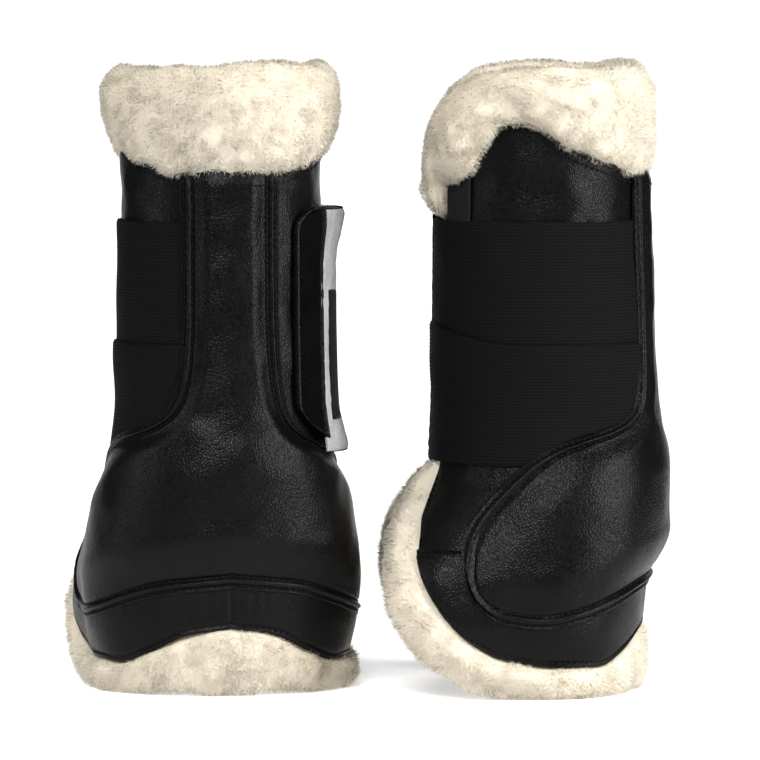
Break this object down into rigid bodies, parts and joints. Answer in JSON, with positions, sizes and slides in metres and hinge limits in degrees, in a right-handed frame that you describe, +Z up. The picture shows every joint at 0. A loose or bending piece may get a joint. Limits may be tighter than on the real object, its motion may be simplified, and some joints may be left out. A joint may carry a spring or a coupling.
{
  "type": "tendon boots",
  "caption": "Pair of black leather tendon boots with a fetlock cup, cream fleece lining, wide elastic straps and a hook tab closure.",
  "frame": {"origin": "middle of the pair on the surface that it stands on", "axes": "+Z up; -Y is the side the first boot turns its back to; +X runs from the first boot to the second"},
  "size_m": [0.2368, 0.1215, 0.242],
  "materials": {
    "leather": "soft pebbled grain, satin",
    "fleece": "deep cream pile",
    "elastic": "matte ribbed webbing",
    "plate": "moulded, matte",
    "foam": "soft closed-cell foam",
    "hook": "woven hook tape",
    "loop": "brushed loop tape",
    "plush": "short grey felt",
    "badge": "soft moulded rubber, plain",
    "label": "plain woven satin"
  },
  "bodies": {
    "boot1_back": {"boot1_back_lining": "fleece", "boot1_back_shell": "leather", "boot1_strike_plate": "plate", "boot1_impact_pad": "foam", "boot1_strike_cover": "leather", "boot1_lower_band": "leather", "boot1_back_collar": "fleece", "boot1_back_hem": "fleece"},
    "boot1_medial_wing": {"boot1_medial_lining": "fleece", "boot1_medial_shell": "leather", "boot1_medial_cup": "leather", "boot1_medial_collar": "fleece", "boot1_medial_hem": "fleece", "boot1_medial_front_fleece": "fleece", "boot1_upper_anchor": "elastic", "boot1_lower_anchor": "elastic", "boot1_woven_label": "label"},
    "boot1_lateral_wing": {"boot1_lateral_lining": "fleece", "boot1_lateral_shell": "leather", "boot1_lateral_cup": "leather", "boot1_lateral_collar": "fleece", "boot1_lateral_hem": "fleece", "boot1_lateral_front_fleece": "fleece", "boot1_loop_patch": "loop"},
    "boot1_straps": {"boot1_upper_elastic": "elastic", "boot1_lower_elastic": "elastic"},
    "boot1_tab": {"boot1_tab_panel": "plush", "boot1_pull_tongue": "leather", "boot1_hook_patch": "hook", "boot1_tab_badge": "badge"},
    "boot2_back": {"boot2_back_lining": "fleece", "boot2_back_shell": "leather", "boot2_strike_plate": "plate", "boot2_impact_pad": "foam", "boot2_strike_cover": "leather", "boot2_lower_band": "leather", "boot2_back_collar": "fleece", "boot2_back_hem": "fleece"},
    "boot2_medial_wing": {"boot2_medial_lining": "fleece", "boot2_medial_shell": "leather", "boot2_medial_cup": "leather", "boot2_medial_collar": "fleece", "boot2_medial_hem": "fleece", "boot2_medial_front_fleece": "fleece", "boot2_upper_anchor": "elastic", "boot2_lower_anchor": "elastic", "boot2_woven_label": "label"},
    "boot2_lateral_wing": {"boot2_lateral_lining": "fleece", "boot2_lateral_shell": "leather", "boot2_lateral_cup": "leather", "boot2_lateral_collar": "fleece", "boot2_lateral_hem": "fleece", "boot2_lateral_front_fleece": "fleece", "boot2_loop_patch": "loop"},
    "boot2_straps": {"boot2_upper_elastic": "elastic", "boot2_lower_elastic": "elastic"},
    "boot2_tab": {"boot2_tab_panel": "plush", "boot2_pull_tongue": "leather", "boot2_hook_patch": "hook", "boot2_tab_badge": "badge"}
  },
  "joints": [
    {"name": "boot1_medial_wing_spread", "type": "hinge", "parent": "boot1_back", "child": "boot1_medial_wing", "pos_m": [-0.11696, -0.01391, 0.12], "axis": [0, 0, 1], "range_deg": [0, 15]},
    {"name": "boot1_lateral_wing_spread", "type": "hinge", "parent": "boot1_back", "child": "boot1_lateral_wing", "pos_m": [0.00612, 0.00121, 0.12], "axis": [0, 0, -1], "range_deg": [0, 15]},
    {"name": "boot1_strap_swing", "type": "hinge", "parent": "boot1_medial_wing", "child": "boot1_straps", "pos_m": [-0.07683, 0.03999, 0.12], "axis": [0, 0, 1], "range_deg": [0, 150]},
    {"name": "boot1_tab_peel", "type": "hinge", "parent": "boot1_straps", "child": "boot1_tab", "pos_m": [-0.03717, 0.04687, 0.12], "axis": [0, 0, 1], "range_deg": [0, 45]},
    {"name": "boot2_lift", "type": "slide", "parent": "boot1_back", "child": "boot2_back", "axis": [0, 0, 1], "range_m": [0, 0.3]},
    {"name": "boot2_medial_wing_spread", "type": "hinge", "parent": "boot2_back", "child": "boot2_medial_wing", "pos_m": [0.07339, -0.06438, 0.12], "axis": [0, 0, 1], "range_deg": [0, 2.8]},
    {"name": "boot2_lateral_wing_spread", "type": "hinge", "parent": "boot2_back", "child": "boot2_lateral_wing", "pos_m": [0.07339, 0.05962, 0.12], "axis": [0, 0, -1], "range_deg": [0, 2.8]},
    {"name": "boot2_strap_swing", "type": "hinge", "parent": "boot2_medial_wing", "child": "boot2_straps", "pos_m": [0.02479, -0.01798, 0.12], "axis": [0, 0, 1], "range_deg": [0, 28]},
    {"name": "boot2_tab_peel", "type": "hinge", "parent": "boot2_straps", "child": "boot2_tab", "pos_m": [0.02279, 0.02222, 0.12], "axis": [0, 0, 1], "range_deg": [0, 8.4]}
  ],
  "couplings": [
    {"joint": "boot1_tab_peel", "follows": "boot1_strap_swing", "ratio": 0.3},
    {"joint": "boot1_medial_wing_spread", "follows": "boot1_strap_swing", "ratio": 0.1},
    {"joint": "boot1_lateral_wing_spread", "follows": "boot1_strap_swing", "ratio": 0.1},
    {"joint": "boot2_tab_peel", "follows": "boot2_strap_swing", "ratio": 0.3},
    {"joint": "boot2_medial_wing_spread", "follows": "boot2_strap_swing", "ratio": 0.1},
    {"joint": "boot2_lateral_wing_spread", "follows": "boot2_strap_swing", "ratio": 0.1}
  ]
}
